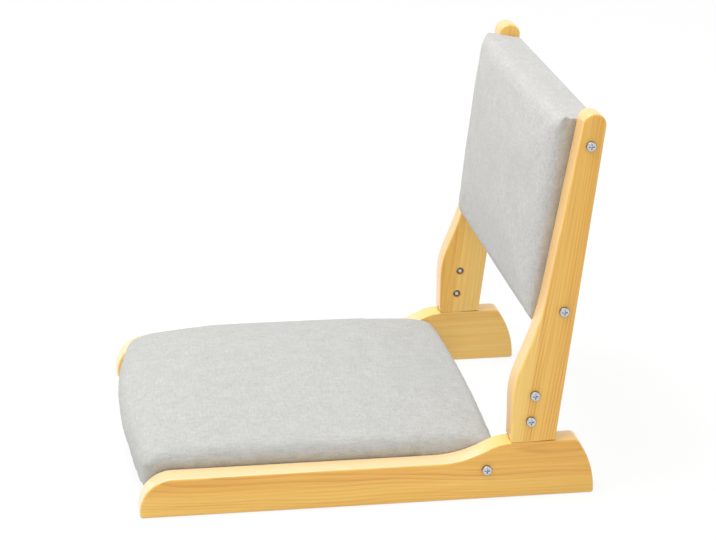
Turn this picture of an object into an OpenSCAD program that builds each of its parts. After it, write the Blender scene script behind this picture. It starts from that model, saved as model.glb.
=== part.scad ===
// Folding floor chair: two wooden runners, two leaning uprights that fold
// forward on concealed plate hinges, and a padded seat and back panel.
// X runs across the chair, the sitter faces -Y, Z is up from the floor.

/* [Overall] */
// Width over the outer faces of the side frames
overall_w = 440; // [400:1:520]
// Height from the floor to the tops of the uprights
overall_h = 418; // [400:1:460]
// Thickness of the runners and uprights
board_t = 28; // [26:0.5:36]
// Radius of the eased edges of the wood
edge_r = 2.5; // [1:0.5:3]

/* [Runners] */
// Length of a runner from nose to heel
runner_len = 484; // [470:1:540]
// Height of the long low part of a runner
runner_h = 42.5; // [42:0.5:46]
// Height of the raised block under an upright
hump_h = 62.5; // [60:0.5:68]
// Radius of the rounded nose
nose_r = 36; // [24:1:37]
// Radius of the bottom corners
base_r = 3; // [2:0.5:4]
// Slope of the rise up to the block
rise_angle = 24; // [20:1:30]
// Radius at the foot of the rise
rise_low_r = 115; // [60:1:120]
// Radius at the top of the rise
rise_top_r = 56; // [30:1:60]
// Distance from the heel to where the rise would meet the block's top
rise_setback = 100.8; // [98:0.1:112]
// Radius of the long curve of the heel
heel_r = 97; // [60:1:100]
// Height of the point that the heel curve turns about
heel_knee_z = 30; // [28:1:32]
// Slope of the upper heel from the vertical
heel_angle = 30; // [22:1:32]
// Radius of the heel's top corner
heel_top_r = 8; // [4:1:10]

/* [Uprights] */
// Backward lean of the uprights' rear edges
lean = 7.14; // [5:0.01:9]
// Distance from the runner's heel to the upright's rear edge
foot_setback = 43.4; // [40:0.1:48]
// Depth of the upright's foot
foot_d = 48; // [46:0.5:54]
// Height of the knee where the foot starts to narrow, above the block
knee_rise = 63; // [58:1:68]
// Radius of the knee
knee_r = 95; // [60:1:110]
// Height of the narrow neck above the block
neck_rise = 135; // [126:0.5:142]
// Depth of the upright at its neck
neck_d = 36.5; // [34:0.1:40]
// Radius of the long hollow curve of the neck
neck_r = 300; // [100:10:340]
// Depth of the upright at its top
tip_d = 24.4; // [24:0.2:30]
// Radius of the upright's top corners
tip_r = 11.8; // [8:0.1:11.8]
// Gap between the foot and the block it stands on
seam_gap = 0.25; // [0.15:0.05:0.4]
// How much the rear half of the foot is relieved
foot_relief = 1; // [0.4:0.1:1.5]

/* [Hinge] */
// Radius of the foot's front bottom corner, centred on the hinge pin
toe_r = 2.8; // [2.4:0.1:3.2]
// Diameter of the hinge pin
pin_d = 3.5; // [3:0.1:3.8]
// Running clearance of the pin in its eyes, on the radius
pin_clear = 0.05; // [0.03:0.01:0.08]
// Radius of the hinge plates' eyes
eye_r = 3.6; // [3.4:0.1:4]
// Thickness of the hinge plates
plate_t = 2.5; // [2:0.5:3]
// Gap between the two plates
plate_gap = 0.2; // [0.1:0.05:0.3]
// Half width of the strap round its bolts
strap_r = 8; // [7:0.5:9]
// Distance of the strap's bolts from the upright's rear edge
hinge_bolt_in = 30; // [28:0.5:31]
// Distance of the lower strap bolt along the rear edge
hinge_bolt_low = 20; // [18:0.5:24]
// Distance between the strap's bolts
hinge_bolt_pitch = 29; // [24:0.5:34]
// Depth of the bracket's web, from front to rear
web_d = 22; // [16:1:26]
// Length of the bracket's foot flange
flange_len = 62; // [54:1:70]
// Width of the bracket's foot flange
flange_w = 12.5; // [12:0.5:14]
// Diameter of the rivet heads on the pin
rivet_head_d = 6; // [5.4:0.1:6.6]
// Thickness of the rivet heads on the pin
rivet_head_t = 1; // [0.8:0.1:1.2]

/* [Fasteners] */
// Diameter of the machine bolts
bolt_d = 6; // [5:0.5:6.5]
// Diameter of the bolts' pan heads
bolt_head_d = 10.5; // [9.5:0.5:12]
// Height of the bolts' pan heads
bolt_head_t = 3.4; // [2.6:0.1:4]
// Clearance round a fastener in its hole, on the radius
bolt_clear = 0.1; // [0.05:0.05:0.2]
// Width of the cross recess in a head
recess_w = 1.3; // [1:0.1:1.6]
// Length of the cross recess in a head
recess_len = 6; // [4.5:0.1:6.5]
// Depth of the cross recess in a head
recess_t = 1.8; // [1.2:0.1:2.2]
// Diameter of a sleeve nut's barrel
sleeve_d = 7.6; // [7.4:0.1:8]
// Diameter of the counterbore round a sleeve nut
sleeve_bore_d = 9.6; // [9:0.1:11]
// Depth of the counterbore round a sleeve nut
sleeve_bore_t = 3; // [2:0.5:4]
// Diameter of a threaded insert
insert_d = 10; // [9:0.5:11]
// Length of a threaded insert
insert_len = 14; // [12:1:16]
// Diameter of the front dowels
dowel_d = 10; // [8:0.5:12]
// Length of the front dowels
dowel_len = 38; // [34:1:42]
// Diameter of the bracket's wood screws
screw_d = 4; // [3.5:0.1:4.4]
// Length of the bracket's wood screws
screw_len = 22; // [18:1:26]
// Diameter of the bracket screws' countersunk heads
screw_head_d = 8; // [7:0.2:8.4]

/* [Panels] */
// How far the seat pad stands ahead of the runners
seat_overhang = 8.5; // [6:0.5:12]
// Distance from the heel to the seat bolts
seat_bolt_setback = 117; // [115:0.5:125]
// Height of the seat frame's middle above the floor
seat_mid_h = 33.4; // [32:0.2:34]
// Distance of the seat bolts from the rear end of the seat frame
seat_bolt_in = 14; // [14:0.5:20]
// Distance of the front dowels from the front end of the seat frame
seat_dowel_in = 17.5; // [16:0.5:20]
// Distance of the back bolts from the uprights' rear edges
back_bolt_in = 13.2; // [13:0.1:14]
// Distance of the lower back bolt along the rear edge
back_bolt_low = 144; // [140:0.5:148]
// Distance between the back bolts
back_bolt_pitch = 179; // [160:1:182]
// Distance of the back bolts from the ends of the back frame
back_bolt_end = 19.5; // [18:0.5:22]
// Thickness of the panels' frame rails
rail_t = 20; // [18:0.5:20]
// Width of the panels' frame rails
rail_w = 38; // [34:1:44]
// Thickness of the plywood decks
deck_t = 4; // [3:0.5:5]
// Length of the small dowels in the frame joints
joint_dowel_len = 28; // [24:1:30]
// Diameter of the small dowels in the frame joints
joint_dowel_d = 6; // [5:0.5:8]
// Gap between a panel's cover and the wood beside it
side_gap = 0.3; // [0.3:0.1:1]

/* [Upholstery] */
// Thickness of the cover fabric with its lining
fabric_t = 1.2; // [0.8:0.1:1.4]
// Height of the seat cushion's edge above the middle of its frame
seat_edge_h = 35; // [32:0.5:37]
// Height of the back cushion's edge above the middle of its frame
back_edge_h = 38; // [34:0.5:39]
// Height of the crown above the cushion's edge
crown_h = 6; // [3:0.5:7]
// Radius of the cushion's rounded shoulders
shoulder_r = 20; // [14:0.5:22]
// Bow of the seat's front edge
front_bow = 21.5; // [12:0.5:24]
// Bow of the seat's rear edge
rear_bow = 3.5; // [1:0.5:6]
// How far the foam wraps down in front of the seat frame
foam_wrap = 4; // [3:0.5:6]
// How much the seat cushion's upper corners are drawn down
seat_corner_drop = 9; // [4:0.5:10]
// How much the back cushion's front corners are drawn back
back_corner_drop = 1; // [0.5:0.5:4]
// Radius of the seat cushion's upright corners
seat_corner_r = 10; // [6:0.5:10]
// Radius of the back cushion's corners in plan
back_corner_r = 6; // [5:0.5:10]
// Radius of the bottom edges of a cushion
pad_roll_r = 1.5; // [1.5:0.1:3]
// Radius of the frame's corners in plan
frame_corner_r = 9; // [9:0.5:10]
// Width of the cover's hem under the frame
hem_w = 30; // [24:1:34]
// Thickness of the backing cloth
backing_t = 0.6; // [0.4:0.1:0.8]
// Distance of the backing cloth's edge from the cover's edge
backing_in = 10; // [8:1:16]

/* [Hidden] */

pine = [0.93, 0.76, 0.48];
raw_wood = [0.86, 0.74, 0.55];
plywood = [0.80, 0.66, 0.45];
zinc = [0.72, 0.73, 0.75];
cloth = [0.83, 0.82, 0.79];
foam_cream = [0.95, 0.92, 0.78];
felt_black = [0.13, 0.13, 0.14];

small_fn = 48;
// Overrun of every cut past the face that it opens
cut_over = 2;
// Depth by which one solid runs into another that it is joined to
lap = 0.5;
// Largest gap between a rounded corner's arc and its points
chord_tol = 0.04;
// Steps round an eased edge
ease_steps = 4;
// Radius left on the edges that meet at the foot
arris_r = 0.3;
// Length over which an eased edge runs out
ease_fade = 3;
// Slack between two fixed pieces that fit together
fit_gap = 0.1;
// Slack between a panel's frame and the cover round it
frame_gap = 0.2;
// Slack of the hinge plates in their slots, on each side
slot_gap = 0.15;
// Slack round the hinge's eyes
eye_gap = 0.3;
// Slack round the bolts and dowels in the holes of the cover
cover_hole_clear = 1;
// Height of the bracket's flange above the runner's underside
flange_rise = 0.4;
// Depth of a screw's pilot hole past its tip
pilot_slack = 0.3;
// Part of the bracket's web that stands ahead of the pin
web_front_share = 0.1;
// Part of a pan head's height that is rounded over
head_dome_share = 0.4;
// Parts of a sleeve nut's radius that its flat end face and its dome's height take
nut_face_share = 0.5;
nut_dome_share = 0.25;
// Least height of a triangle in a board's flat face, as part of its base
flat_share = 0.0001;

inner_x = overall_w / 2 - board_t;
outer_x = overall_w / 2;
mid_x = overall_w / 2 - board_t / 2;
heel_y = (runner_len + seat_overhang) / 2;
nose_y = heel_y - runner_len;
foot_rear_y = heel_y - foot_setback;
foot_front_y = foot_rear_y - foot_d;
foot_z = hump_h + seam_gap;
hinge_y = foot_front_y + toe_r;
hinge_z = foot_z + toe_r;

// A place beside the upright's rear edge: ahead of it, and up along it
function on_back(ahead, up) = [
    foot_rear_y - ahead * cos(lean) + up * sin(lean),
    hump_h + ahead * sin(lean) + up * cos(lean)
];
function unit(v) = v / norm(v);
function left_of(v) = [-v[1], v[0]];
function xy(v) = [v[0], v[1]];
function mix(a, b, share) = a + (b - a) * share;

hinge_pivot = [hinge_y, hinge_z];
strap_low = on_back(hinge_bolt_in, hinge_bolt_low);
strap_high = on_back(hinge_bolt_in, hinge_bolt_low + hinge_bolt_pitch);
back_low = on_back(back_bolt_in, back_bolt_low);
back_high = on_back(back_bolt_in, back_bolt_low + back_bolt_pitch);
seat_bolt = [heel_y - seat_bolt_setback, seat_mid_h];

// Panel frames, in each panel's own axes: X across, Y along, Z towards the sitter
panel_half_w = inner_x - side_gap;
frame_half_w = panel_half_w - fabric_t - frame_gap;
seat_rear_y = seat_bolt[0] + seat_bolt_in;
seat_front_y = -heel_y + front_bow + fabric_t + foam_wrap + frame_gap;
seat_frame_d = seat_rear_y - seat_front_y;
seat_mid_y = (seat_rear_y + seat_front_y) / 2;
seat_dowel = [seat_front_y + seat_dowel_in, seat_mid_h];
back_frame_d = back_bolt_pitch + 2 * back_bolt_end;
back_mid = mix(back_low, back_high, 1 / 2);

// Outlines of the boards: each row is [y, z, corner radius], anticlockwise
rise_top_y = heel_y - rise_setback;
rise_low_y = rise_top_y - (hump_h - runner_h) / tan(rise_angle);
runner_outline = [
    [nose_y, 0, base_r],
    [heel_y, 0, base_r],
    [heel_y, heel_knee_z, heel_r],
    [heel_y - (hump_h - heel_knee_z) * tan(heel_angle), hump_h, heel_top_r],
    [foot_rear_y + ease_fade, hump_h, 0],
    [foot_rear_y, hump_h, 0],
    [rise_top_y, hump_h, rise_top_r],
    [rise_low_y, runner_h, rise_low_r],
    [nose_y, runner_h, nose_r]
];

tip_up = (overall_h - tip_r - hump_h - (tip_d - tip_r) * sin(lean)) / cos(lean) + tip_r;
neck_z = hump_h + neck_rise;
neck_y = foot_rear_y + neck_rise * tan(lean) - neck_d;
relief_start_share = 0.45;
heel_relief_z = foot_z + foot_relief;
tip_rear = on_back(0, tip_up);
tip_front = on_back(tip_d, tip_up);
upright_outline = [
    [foot_front_y, foot_z, toe_r],
    [mix(foot_front_y, foot_rear_y, relief_start_share), foot_z, 0],
    [foot_rear_y + (heel_relief_z - hump_h) * tan(lean), heel_relief_z, 0],
    [foot_rear_y + (heel_relief_z + ease_fade - hump_h) * tan(lean), heel_relief_z + ease_fade, 0],
    [tip_rear[0], tip_rear[1], tip_r],
    [tip_front[0], tip_front[1], tip_r],
    [neck_y, neck_z, neck_r],
    [foot_front_y, hump_h + knee_rise, knee_r],
    [foot_front_y, foot_z + toe_r + ease_fade, 0]
];

// Where the foot stands on the block, both boards keep an almost square edge
runner_points = outline(runner_outline);
runner_radii = [for (p = runner_points)
    p[1] > hump_h - fit_gap && p[0] > foot_front_y && p[0] < foot_rear_y + fit_gap ? arris_r : edge_r];
upright_points = outline(upright_outline);
upright_radii = [for (p = upright_points)
    p[1] < foot_z + toe_r + fit_gap ? arris_r : edge_r];

// Corner geometry of an outline
function wrap(list, i) = list[(i + len(list)) % len(list)];
function corner_at(rows, i) = xy(wrap(rows, i));
function corner_r(rows, i) = wrap(rows, i)[2];
function to_prev(rows, i) = unit(corner_at(rows, i - 1) - corner_at(rows, i));
function to_next(rows, i) = unit(corner_at(rows, i + 1) - corner_at(rows, i));
function inside_angle(rows, i) = acos(to_prev(rows, i) * to_next(rows, i));
function bend_sign(rows, i) = cross(-to_prev(rows, i), to_next(rows, i)) > 0 ? 1 : -1;
function arc_start(rows, i) =
    corner_at(rows, i) + to_prev(rows, i) * corner_r(rows, i) / tan(inside_angle(rows, i) / 2);
function arc_centre(rows, i) = corner_at(rows, i)
    + unit(to_prev(rows, i) + to_next(rows, i)) * corner_r(rows, i) / sin(inside_angle(rows, i) / 2);
function heading(v) = atan2(v[1], v[0]);
function spoke(turn) = [cos(turn), sin(turn)];

// Points round one corner, close enough together to stay within the chord tolerance
function arc_points(rows, i) =
    let (r = corner_r(rows, i), centre = arc_centre(rows, i), sweep = 180 - inside_angle(rows, i),
        start = heading(arc_start(rows, i) - centre),
        steps = ceil(sweep / (2 * acos(1 - chord_tol / r))))
    [for (k = [0:steps]) centre + spoke(start + bend_sign(rows, i) * sweep * k / steps) * r];

// Outline's points, anticlockwise
function outline(rows) = [for (i = [0:len(rows) - 1]) each
    corner_r(rows, i) > 0 ? arc_points(rows, i) : [corner_at(rows, i)]];

// Point of an outline moved inwards by an inset, square to both of its edges
function inset_point(points, i, inset) =
    let (a = left_of(unit(wrap(points, i) - wrap(points, i - 1))),
        b = left_of(unit(wrap(points, i + 1) - wrap(points, i))))
    wrap(points, i) + (a + b) * inset / (1 + a * b);

// Triangles that fill a flat outline, found by cutting off one corner after another
function doubled_area(a, b, c) = cross(b - a, c - a);
function in_triangle(p, a, b, c) =
    doubled_area(a, b, p) >= 0 && doubled_area(b, c, p) >= 0 && doubled_area(c, a, p) >= 0;
function cuts_off(points, left, k) =
    let (i = wrap(left, k - 1), j = left[k], n = wrap(left, k + 1),
        a = points[i], b = points[j], c = points[n])
    doubled_area(a, b, c) > flat_share * (c - a) * (c - a)
        && len([for (m = left) if (m != i && m != j && m != n && in_triangle(points[m], a, b, c)) m]) == 0;
function next_corner(points, left, k, tries) = tries == 0 || cuts_off(points, left, k % len(left))
    ? k % len(left) : next_corner(points, left, k + 1, tries - 1);
function without(left, k) = [for (m = [0:len(left) - 1]) if (m != k) left[m]];
function filled(points, left, k) = len(left) < 3 ? []
    : let (at = next_corner(points, left, k, len(left)))
    concat([[wrap(left, at - 1), left[at], wrap(left, at + 1)]], filled(points, without(left, at), at + 1));

// Board cut to an outline in the Y-Z plane, from the inner face outwards. Each of the
// outline's points has its own radius of easing, the same on both faces.
module board(points, radii) {
    count = len(points);
    turns = [for (k = [0:ease_steps]) 90 * k / ease_steps];
    rings = concat(
        [for (turn = turns) [for (i = [0:count - 1]) let (r = radii[i])
            concat(inset_point(points, i, r * (1 - sin(turn))), [r * (1 - cos(turn))])]],
        [for (k = [0:ease_steps]) [for (i = [0:count - 1]) let (r = radii[i], turn = 90 - turns[k])
            concat(inset_point(points, i, r * (1 - sin(turn))), [board_t - r * (1 - cos(turn))])]]
    );
    top = (len(rings) - 1) * count;
    flats = filled([for (p = rings[0]) xy(p)], [for (i = [0:count - 1]) i], 0);
    faces = concat(
        flats,
        [for (k = [0:len(rings) - 2]) for (i = [0:count - 1])
            let (n = (i + 1) % count, p = k * count, q = p + count)
            each [[p + i, q + i, q + n], [p + i, q + n, p + n]]],
        [for (f = flats) [top + f[2], top + f[1], top + f[0]]]
    );
    translate([inner_x, 0, 0]) rotate([90, 0, 90]) polyhedron([for (layer = rings) each layer], faces);
}

// Round bar or bore along X at a place in the side view
module along_x(place, x0, x1, d) {
    translate([x0, place[0], place[1]]) rotate([0, 90, 0]) cylinder(h = x1 - x0, d = d, $fn = small_fn);
}

// Plate between two X positions, drawn in the side view
module side_plate(x0, x1) {
    translate([x0, 0, 0]) rotate([90, 0, 90]) linear_extrude(x1 - x0) children();
}

module both_sides() {
    children();
    mirror([1, 0, 0]) children();
}

// Hinge: the strap turns with the upright, the bracket stays in the runner
strap_x0 = mid_x - plate_gap / 2 - plate_t;
strap_x1 = mid_x - plate_gap / 2;
web_x0 = mid_x + plate_gap / 2;
web_x1 = mid_x + plate_gap / 2 + plate_t;
rivet_x0 = strap_x0 - fit_gap - rivet_head_t;
rivet_x1 = web_x1 + fit_gap + rivet_head_t;
web_front_y = hinge_y - web_d * web_front_share;
web_rear_y = web_front_y + web_d;
flange_bottom_z = flange_rise;
flange_top_z = flange_bottom_z + plate_t;
flange_front_y = (web_front_y + web_rear_y - flange_len) / 2;
flange_rear_y = flange_front_y + flange_len;
flange_x0 = web_x1 - flange_w;
screw_x = (flange_x0 + strap_x1) / 2;
screw_in = (web_front_y - flange_front_y) / 2;
screw_ys = [flange_front_y + screw_in, flange_rear_y - screw_in];
up_back = [sin(lean), cos(lean)];
ahead_back = left_of(up_back);
neck_across = left_of(unit(strap_low - hinge_pivot));

module strap_2d(grow) {
    translate(hinge_pivot) circle(eye_r + grow, $fn = small_fn);
    polygon([
        hinge_pivot - neck_across * (eye_r + grow), strap_low - neck_across * (strap_r + grow),
        strap_low + neck_across * (strap_r + grow), hinge_pivot + neck_across * (eye_r + grow)
    ]);
    translate(strap_low) circle(strap_r + grow, $fn = small_fn);
    translate(strap_high) circle(strap_r + grow, $fn = small_fn);
    polygon([
        strap_low - ahead_back * (strap_r + grow), strap_high - ahead_back * (strap_r + grow),
        strap_high + ahead_back * (strap_r + grow), strap_low + ahead_back * (strap_r + grow)
    ]);
}

// Slot in the foot, cut from below so that the strap can be slid in
module strap_slot_2d() {
    grow = slot_gap;
    drop = strap_low[1] - foot_z + cut_over + foot_relief;
    strap_2d(grow);
    polygon([
        hinge_pivot + neck_across * eye_r, strap_low + neck_across * strap_r,
        strap_low - ahead_back * (strap_r + grow),
        strap_low - ahead_back * (strap_r + grow) - up_back * drop,
        [hinge_pivot[0], foot_z - cut_over]
    ]);
}

module hinge_strap() {
    color(zinc) difference() {
        side_plate(strap_x0, strap_x1) strap_2d(0);
        along_x(hinge_pivot, strap_x0 - cut_over, strap_x1 + cut_over, pin_d + 2 * pin_clear);
        for (place = [strap_low, strap_high]) {
            along_x(place, strap_x0 - cut_over, strap_x1 + cut_over, bolt_d + 2 * bolt_clear);
        }
    }
}

module web_2d(grow) {
    translate(hinge_pivot) circle(eye_r + grow, $fn = small_fn);
    translate([web_front_y - grow, flange_bottom_z]) square([web_d + 2 * grow, hump_h - flange_bottom_z]);
}

module hinge_bracket() {
    color(zinc) difference() {
        union() {
            side_plate(web_x0, web_x1) web_2d(0);
            translate([flange_x0, flange_front_y, flange_bottom_z]) cube([flange_w, flange_len, plate_t]);
        }
        along_x(hinge_pivot, web_x0 - cut_over, web_x1 + cut_over, pin_d + 2 * pin_clear);
        for (y = screw_ys) translate([screw_x, y, flange_bottom_z]) screw_shape(fit_gap, cut_over);
    }
}

module hinge_pin() {
    color(zinc) {
        along_x(hinge_pivot, strap_x0 - fit_gap, web_x1 + fit_gap, pin_d);
        along_x(hinge_pivot, rivet_x0, strap_x0 - fit_gap, rivet_head_d);
        along_x(hinge_pivot, web_x1 + fit_gap, rivet_x1, rivet_head_d);
    }
}

// Countersunk wood screw pointing up from its head's face
module screw_shape(grow, below) {
    head_r = screw_head_d / 2;
    translate([0, 0, -below]) cylinder(h = below + fit_gap, r = head_r + grow, $fn = small_fn);
    rotate_extrude($fn = small_fn) polygon([
        [0, 0], [head_r + grow, 0], [screw_d / 2 + grow, head_r - screw_d / 2],
        [screw_d / 2 + grow, screw_len - screw_d / 2 + grow], [0, screw_len + grow]
    ]);
}

module screw_solid() {
    head_r = screw_head_d / 2;
    difference() {
        rotate_extrude($fn = small_fn) polygon([
            [0, 0], [head_r, 0], [screw_d / 2, head_r - screw_d / 2],
            [screw_d / 2, screw_len - screw_d / 2], [0, screw_len]
        ]);
        cross_recess(screw_d);
    }
}

// Cross recess cut up from z = 0
module cross_recess(reach) {
    for (turn = [0, 90]) rotate([0, 0, turn]) translate([-reach / 2, -recess_w / 2, -cut_over])
        cube([reach, recess_w, cut_over + min(recess_t, reach / 2)]);
}

module bracket_screws() {
    color(zinc) both_sides() for (y = screw_ys) translate([screw_x, y, flange_bottom_z]) screw_solid();
}

// Pan-head bolt from the outer face inwards, its tip at x1
module pan_bolt(place, tip_x) {
    dome_r = bolt_head_t * head_dome_share;
    translate([outer_x, place[0], place[1]]) rotate([0, 90, 0]) difference() {
        rotate_extrude($fn = small_fn) union() {
            square([bolt_head_d / 2, bolt_head_t - dome_r]);
            square([bolt_head_d / 2 - dome_r, bolt_head_t]);
            translate([bolt_head_d / 2 - dome_r, bolt_head_t - dome_r]) intersection() {
                circle(dome_r, $fn = small_fn);
                square(dome_r);
            }
        }
        translate([0, 0, bolt_head_t]) mirror([0, 0, 1]) cross_recess(recess_len);
    }
    along_x(place, tip_x, outer_x + lap, bolt_d);
}

module hinge_bolts() {
    tip_x = inner_x + sleeve_bore_t;
    color(zinc) both_sides() for (place = [strap_low, strap_high]) pan_bolt(place, tip_x);
}

// Sleeve nut in the inner half of the upright, with a domed end
module hinge_sleeve_nuts() {
    nut_x0 = inner_x + edge_r / 2;
    nut_r = sleeve_d / 2;
    color(zinc) both_sides() for (place = [strap_low, strap_high]) difference() {
        translate([nut_x0, place[0], place[1]]) rotate([0, 90, 0]) rotate_extrude($fn = small_fn) polygon([
            [0, 0], [nut_r * nut_face_share, 0], [nut_r, nut_r * nut_dome_share],
            [nut_r, strap_x0 - fit_gap - nut_x0], [0, strap_x0 - fit_gap - nut_x0]
        ]);
        along_x(place, inner_x + sleeve_bore_t - fit_gap, strap_x0 + cut_over, bolt_d + bolt_clear);
    }
}

module runner() {
    color(pine) difference() {
        board(runner_points, runner_radii);
        side_plate(web_x0 - slot_gap, web_x1 + slot_gap) {
            translate([web_front_y - slot_gap, -cut_over])
                square([web_d + 2 * slot_gap, hump_h + 2 * cut_over]);
        }
        along_x(hinge_pivot, rivet_x0 - eye_gap, rivet_x1 + eye_gap, 2 * (eye_r + eye_gap));
        translate([flange_x0 - slot_gap, flange_front_y - slot_gap, -cut_over])
            cube([flange_w + 2 * slot_gap, flange_len + 2 * slot_gap, cut_over + flange_top_z + slot_gap]);
        for (y = screw_ys) translate([screw_x, y, flange_top_z])
            cylinder(h = screw_len - plate_t + pilot_slack, r = screw_d / 2 + fit_gap, $fn = small_fn);
        along_x(seat_bolt, inner_x - cut_over, outer_x + cut_over, bolt_d + 2 * bolt_clear);
        along_x(seat_dowel, inner_x - cut_over, inner_x + dowel_len / 2 + fit_gap, dowel_d + 2 * bolt_clear);
    }
}

module upright() {
    color(pine) difference() {
        board(upright_points, upright_radii);
        side_plate(strap_x0 - slot_gap, strap_x1 + slot_gap) strap_slot_2d();
        along_x(hinge_pivot, rivet_x0 - eye_gap, rivet_x1 + eye_gap, 2 * (eye_r + eye_gap));
        for (place = [strap_low, strap_high]) {
            along_x(place, strap_x1, outer_x + cut_over, bolt_d + 2 * bolt_clear);
            along_x(place, inner_x - cut_over, strap_x0, sleeve_d + 2 * bolt_clear);
            along_x(place, inner_x - cut_over, inner_x + sleeve_bore_t, sleeve_bore_d);
        }
        for (place = [back_low, back_high]) {
            along_x(place, inner_x - cut_over, outer_x + cut_over, bolt_d + 2 * bolt_clear);
        }
    }
}

// Puts a panel drawn in its own axes into the chair
module seat_place() {
    translate([0, seat_mid_y, seat_mid_h]) children();
}

module back_place() {
    translate([0, back_mid[0], back_mid[1]]) rotate([-lean, 0, 0]) rotate([90, 0, 0]) children();
}

// Bar across a side rail in a panel's own axes
module panel_bar(x0, x1, y, d) {
    translate([x0, y, 0]) rotate([0, 90, 0]) cylinder(h = x1 - x0, d = d, $fn = small_fn);
}

// Places of the small dowels on one side: two at each end
function joint_ys(frame_d) = [for (end = [-1, 1]) for (half = [-1, 1])
    end * (frame_d / 2 - rail_w / 2) + half * rail_w / 4];

module joint_bars(frame_d, grow) {
    joint_x = frame_half_w - rail_w;
    for (y = joint_ys(frame_d)) {
        panel_bar(joint_x - joint_dowel_len / 2 - grow, joint_x + joint_dowel_len / 2 + grow, y,
            joint_dowel_d + 2 * grow);
    }
}

// Plan of a frame, with rounded corners
module frame_plan(frame_d) {
    half_w = frame_half_w - frame_corner_r;
    half_d = frame_d / 2 - frame_corner_r;
    translate([-frame_half_w, -half_d]) square([2 * frame_half_w, 2 * half_d]);
    translate([-half_w, -frame_d / 2]) square([2 * half_w, frame_d]);
    for (sx = [-1, 1]) for (sy = [-1, 1]) translate([sx * half_w, sy * half_d])
        circle(frame_corner_r, $fn = small_fn);
}

module side_rail(frame_d, bolt_ys) {
    color(raw_wood) difference() {
        intersection() {
            translate([0, 0, -rail_t / 2]) linear_extrude(rail_t) frame_plan(frame_d);
            translate([frame_half_w - rail_w, -frame_d, -rail_t])
                cube([rail_w + cut_over, 2 * frame_d, 2 * rail_t]);
        }
        joint_bars(frame_d, fit_gap);
        for (y = bolt_ys) {
            panel_bar(frame_half_w - insert_len - fit_gap, frame_half_w + cut_over, y,
                insert_d + 2 * bolt_clear);
            panel_bar(frame_half_w - rail_w / 2 - insert_len / 2, frame_half_w, y, bolt_d + 2 * bolt_clear);
        }
    }
}

// Rail between the side rails, at one end of the frame
module cross_rail(frame_d, end) {
    half = frame_half_w - rail_w - fit_gap;
    color(raw_wood) difference() {
        translate([-half, end * (frame_d / 2 - rail_w / 2) - rail_w / 2, -rail_t / 2])
            cube([2 * half, rail_w, rail_t]);
        both_sides() joint_bars(frame_d, fit_gap);
    }
}

module frame_dowels(frame_d) {
    color(raw_wood) both_sides() joint_bars(frame_d, 0);
}

module deck(frame_d) {
    color(plywood) translate([0, 0, rail_t / 2 + fit_gap]) linear_extrude(deck_t) frame_plan(frame_d);
}

module insert_nuts(bolt_ys) {
    color(zinc) both_sides() for (y = bolt_ys) difference() {
        panel_bar(frame_half_w - insert_len, frame_half_w, y, insert_d);
        panel_bar(frame_half_w - insert_len - cut_over, frame_half_w + cut_over, y, bolt_d + bolt_clear);
    }
}

// Cushion: rings of points round an upright axis, from the bottom hem to the crown
arc_steps = 4;
side_steps = 8;
ring_count = 4 * (arc_steps + side_steps);

// Ring of a rectangle with rounded corners, anticlockwise from its right side
function ring_corner(a, b, r, q, j) =
    let (sx = (q == 0 || q == 3) ? 1 : -1, sy = q < 2 ? 1 : -1, turn = 90 * (q + j / arc_steps))
    [sx * (a - r) + r * cos(turn), sy * (b - r) + r * sin(turn)];
function ring(a, b, r) = [for (q = [0:3]) each concat(
    [for (j = [0:arc_steps]) ring_corner(a, b, r, q, j)],
    [for (e = [1:side_steps - 1]) mix(ring_corner(a, b, r, q, arc_steps),
        ring_corner(a, b, r, (q + 1) % 4, 0), e / side_steps)])];

// How the bow grows up the cushion, how close to a corner it is drawn down, and the crown's rings
corner_power = 3;
hem_bow_share = 0.7;
crown_ring_shares = [0.86, 0.62, 0.34];
shoulder_turns = [0, 24, 46, 66, 84];
corner_growth_share = 1.5;

// One ring after bowing its front and rear and drawing down the corners
function dressed_ring(a, b, inset, shrink_share, r, z, bows, drop) = [
    for (p = ring(a - inset, b - inset, r))
    let (x = p[0] * shrink_share, y = p[1] * shrink_share, front = max(0, -y / b), rear = max(0, y / b),
        corner = pow(min(1, abs(x) / a) * min(1, abs(y) / b), corner_power))
    [x, y + (bows[1] * rear - bows[0] * front) * (1 - pow(x / a, 2)), z - drop * corner]
];

// Closed cushion solid: half sizes a and b, from z0 to the edge height z1 plus the crown
module cushion(a, b, z0, z1, bows, corner_r, corner_drop, shrink) {
    r = shoulder_r - shrink;
    roll = max(pad_roll_r - shrink, fit_gap);
    corner = max(corner_r - shrink, roll + fit_gap);
    spring_z = z1 - r;
    rings = concat(
        [dressed_ring(a, b, roll, 1, corner - roll + fit_gap, z0, bows * hem_bow_share, 0)],
        [dressed_ring(a, b, 0, 1, corner, z0 + roll, bows * hem_bow_share, 0)],
        [dressed_ring(a, b, 0, 1, corner, (z0 + roll + spring_z) / 2, bows, 0)],
        [for (turn = shoulder_turns) let (inset = r * (1 - cos(turn)))
            dressed_ring(a, b, inset, 1, corner + inset * corner_growth_share,
                spring_z + r * sin(turn), bows, corner_drop * sin(turn))],
        [for (share = crown_ring_shares) dressed_ring(a, b, r, share, corner + r * corner_growth_share,
            z1 + crown_h * (1 - share * share), bows, corner_drop)]
    );
    layers = len(rings);
    low = layers * ring_count;
    high = low + 1;
    points = concat([for (layer = rings) each layer], [[0, 0, z0], [0, 0, z1 + crown_h]]);
    sides = [for (k = [0:layers - 2]) for (i = [0:ring_count - 1])
        let (n = (i + 1) % ring_count, p = k * ring_count, q = p + ring_count)
        each [[p + i, q + i, q + n], [p + i, q + n, p + n]]];
    top = (layers - 1) * ring_count;
    caps = [for (i = [0:ring_count - 1]) let (n = (i + 1) % ring_count)
        each [[i, n, low], [top + n, top + i, high]]];
    polyhedron(points, concat(sides, caps));
}

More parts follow.
